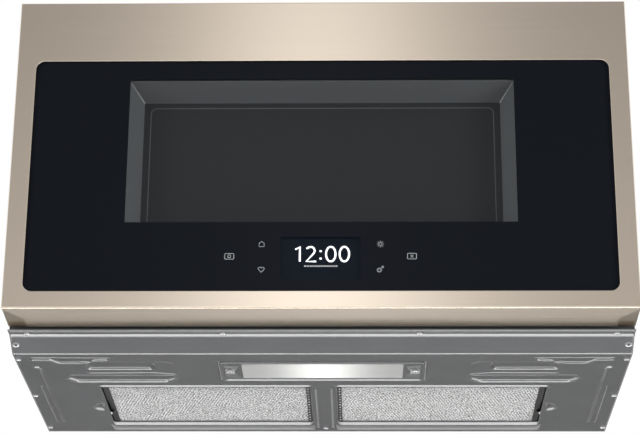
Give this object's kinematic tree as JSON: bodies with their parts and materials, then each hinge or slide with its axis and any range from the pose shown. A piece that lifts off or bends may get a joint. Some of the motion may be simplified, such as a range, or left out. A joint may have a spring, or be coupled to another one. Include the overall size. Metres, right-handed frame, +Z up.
{
  "type": "over the range microwave",
  "caption": "Wall-hung microwave oven for above a cooktop: side-hinged glass door with display, turntable cavity, and a vent base with lamps and sliding grease filters.",
  "frame": {"origin": "on the wall face of the back panel, at mid width, level with the base plate", "axes": "+X to the right seen from the front, +Y from the front to the wall, +Z up"},
  "size_m": [0.76, 0.419, 0.4408],
  "materials": {
    "cabinet_grey": "satin grey powder coat on steel",
    "galvanised": "plain zinc-coated steel sheet",
    "bronze_skin": "brushed bronze-tinted stainless steel",
    "black_glass": "tempered glass, black printed, clear over the window",
    "clear_glass": "clear glass",
    "tray_glass": "pressed clear glass",
    "dark_plastic": "black moulded plastic",
    "bezel_plastic": "dark grey moulded plastic",
    "white_plastic": "natural moulded plastic",
    "dark_steel": "dark painted steel",
    "cavity_enamel": "light grey baked enamel",
    "screen_steel": "black painted perforated steel",
    "mica": "pressed mica sheet",
    "lamp_metal": "bright reflector steel",
    "lens": "frosted glass",
    "aluminium": "layered aluminium mesh in a folded edge",
    "charcoal": "activated charcoal pad",
    "motor_steel": "plain steel",
    "magnetron_metal": "plated steel and aluminium fins",
    "transformer_iron": "varnished laminations and copper coils",
    "can": "drawn aluminium can",
    "board_green": "printed circuit board",
    "screw_steel": "zinc-plated steel",
    "nylon": "nylon",
    "latch_plastic": "acetal",
    "rubberised": "black nylon"
  },
  "bodies": {
    "cabinet": {"base_pan": "cabinet_grey", "right_side_panel": "cabinet_grey", "left_side_panel": "cabinet_grey", "top_panel": "galvanised", "back_panel": "galvanised", "front_plate": "cabinet_grey", "hinge_brackets": "motor_steel", "exhaust_cover": "galvanised", "cord_bushing": "rubberised", "cabinet_screws": "screw_steel", "cavity_box": "cavity_enamel", "mica_cover": "mica", "cavity_lamp": "clear_glass", "turntable_motor": "motor_steel", "vent_grille": "dark_plastic", "air_duct": "galvanised", "charcoal_filter": "charcoal", "blower_housings": "galvanised", "blower_motor": "motor_steel", "lamp_housing": "lamp_metal", "lamp_cover": "cabinet_grey", "lamp_lens": "lens", "cooktop_lamps": "clear_glass", "component_shelf": "galvanised", "waveguide": "galvanised", "magnetron": "magnetron_metal", "hv_transformer": "transformer_iron", "hv_capacitor": "can", "fan_shroud": "galvanised", "power_board": "board_green", "thermal_cutouts": "dark_plastic", "interlock_bracket": "latch_plastic", "microswitches": "dark_plastic"},
    "door": {"door_skin": "bronze_skin", "door_subframe": "dark_plastic", "front_glass": "black_glass", "door_frame": "dark_steel", "door_back_panel": "dark_steel", "choke_cover": "dark_plastic", "inner_glass": "clear_glass", "window_bezel": "bezel_plastic", "window_screen": "screen_steel", "display_unit": "dark_plastic", "hinge_bushings": "nylon", "latch_spring": "screw_steel", "door_screws": "screw_steel"},
    "latch": {"latch_plate": "latch_plastic"},
    "turntable": {"drive_coupler": "white_plastic"},
    "tray": {"glass_tray": "tray_glass"},
    "roller_ring": {"roller_ring": "white_plastic"},
    "roller_1": {"roller_wheel_1": "white_plastic"},
    "roller_2": {"roller_wheel_2": "white_plastic"},
    "roller_3": {"roller_wheel_3": "white_plastic"},
    "filter_right": {"grease_filter_right": "aluminium"},
    "filter_left": {"grease_filter_left": "aluminium"},
    "blower": {"blower_rotor": "dark_plastic"},
    "cooling_fan": {"fan_blade": "white_plastic"},
    "button_primary": {"switch_button_primary": "white_plastic"},
    "button_secondary": {"switch_button_secondary": "white_plastic"},
    "button_monitor": {"switch_button_monitor": "white_plastic"}
  },
  "joints": [
    {"name": "door_hinge", "type": "hinge", "parent": "cabinet", "child": "door", "pos_m": [-0.368, -0.376, 0.231], "axis": [0, 0, -1], "range_deg": [0, 110]},
    {"name": "latch_lift", "type": "slide", "parent": "door", "child": "latch", "axis": [0, 0, 1], "range_m": [0, 0.0045], "stiffness_N_per_m": 300, "springref_m": -0.002, "deforming": ["latch_spring"]},
    {"name": "turntable_spin", "type": "hinge", "parent": "cabinet", "child": "turntable", "pos_m": [-0.04, -0.186, 0.078], "axis": [0, 0, 1], "continuous": true},
    {"name": "tray_lift", "type": "slide", "parent": "turntable", "child": "tray", "axis": [0, 0, 1], "range_m": [0, 0.03]},
    {"name": "ring_spin", "type": "hinge", "parent": "cabinet", "child": "roller_ring", "pos_m": [-0.04, -0.186, 0.078], "axis": [0, 0, 1], "continuous": true},
    {"name": "roller_1_spin", "type": "hinge", "parent": "roller_ring", "child": "roller_1", "pos_m": [0.05526, -0.131, 0.0853], "axis": [0.866, 0.5, 0], "continuous": true},
    {"name": "roller_2_spin", "type": "hinge", "parent": "roller_ring", "child": "roller_2", "pos_m": [-0.13526, -0.131, 0.0853], "axis": [-0.866, 0.5, 0], "continuous": true},
    {"name": "roller_3_spin", "type": "hinge", "parent": "roller_ring", "child": "roller_3", "pos_m": [-0.04, -0.296, 0.0853], "axis": [0, -1, 0], "continuous": true},
    {"name": "filter_right_slide", "type": "slide", "parent": "cabinet", "child": "filter_right", "axis": [1, 0, 0], "range_m": [0, 0.0075]},
    {"name": "filter_left_slide", "type": "slide", "parent": "cabinet", "child": "filter_left", "axis": [-1, 0, 0], "range_m": [0, 0.0075]},
    {"name": "blower_spin", "type": "hinge", "parent": "cabinet", "child": "blower", "pos_m": [0, -0.072, 0.3834], "axis": [1, 0, 0], "continuous": true},
    {"name": "cooling_fan_spin", "type": "hinge", "parent": "cabinet", "child": "cooling_fan", "pos_m": [0.314, -0.064, 0.196], "axis": [0, 1, 0], "continuous": true},
    {"name": "button_primary_press", "type": "slide", "parent": "cabinet", "child": "button_primary", "axis": [0, 1, 0], "range_m": [0, 0.001], "stiffness_N_per_m": 200, "springref_m": -0.0005},
    {"name": "button_secondary_press", "type": "slide", "parent": "cabinet", "child": "button_secondary", "axis": [0, 1, 0], "range_m": [0, 0.001], "stiffness_N_per_m": 200, "springref_m": -0.0005},
    {"name": "button_monitor_press", "type": "slide", "parent": "cabinet", "child": "button_monitor", "axis": [0, 1, 0], "range_m": [0, 0.001], "stiffness_N_per_m": 200, "springref_m": -0.0005}
  ],
  "couplings": [
    {"joint": "ring_spin", "follows": "turntable_spin", "ratio": 0.5},
    {"joint": "roller_1_spin", "follows": "turntable_spin", "ratio": -7.8571},
    {"joint": "roller_2_spin", "follows": "turntable_spin", "ratio": -7.8571},
    {"joint": "roller_3_spin", "follows": "turntable_spin", "ratio": -7.8571}
  ]
}
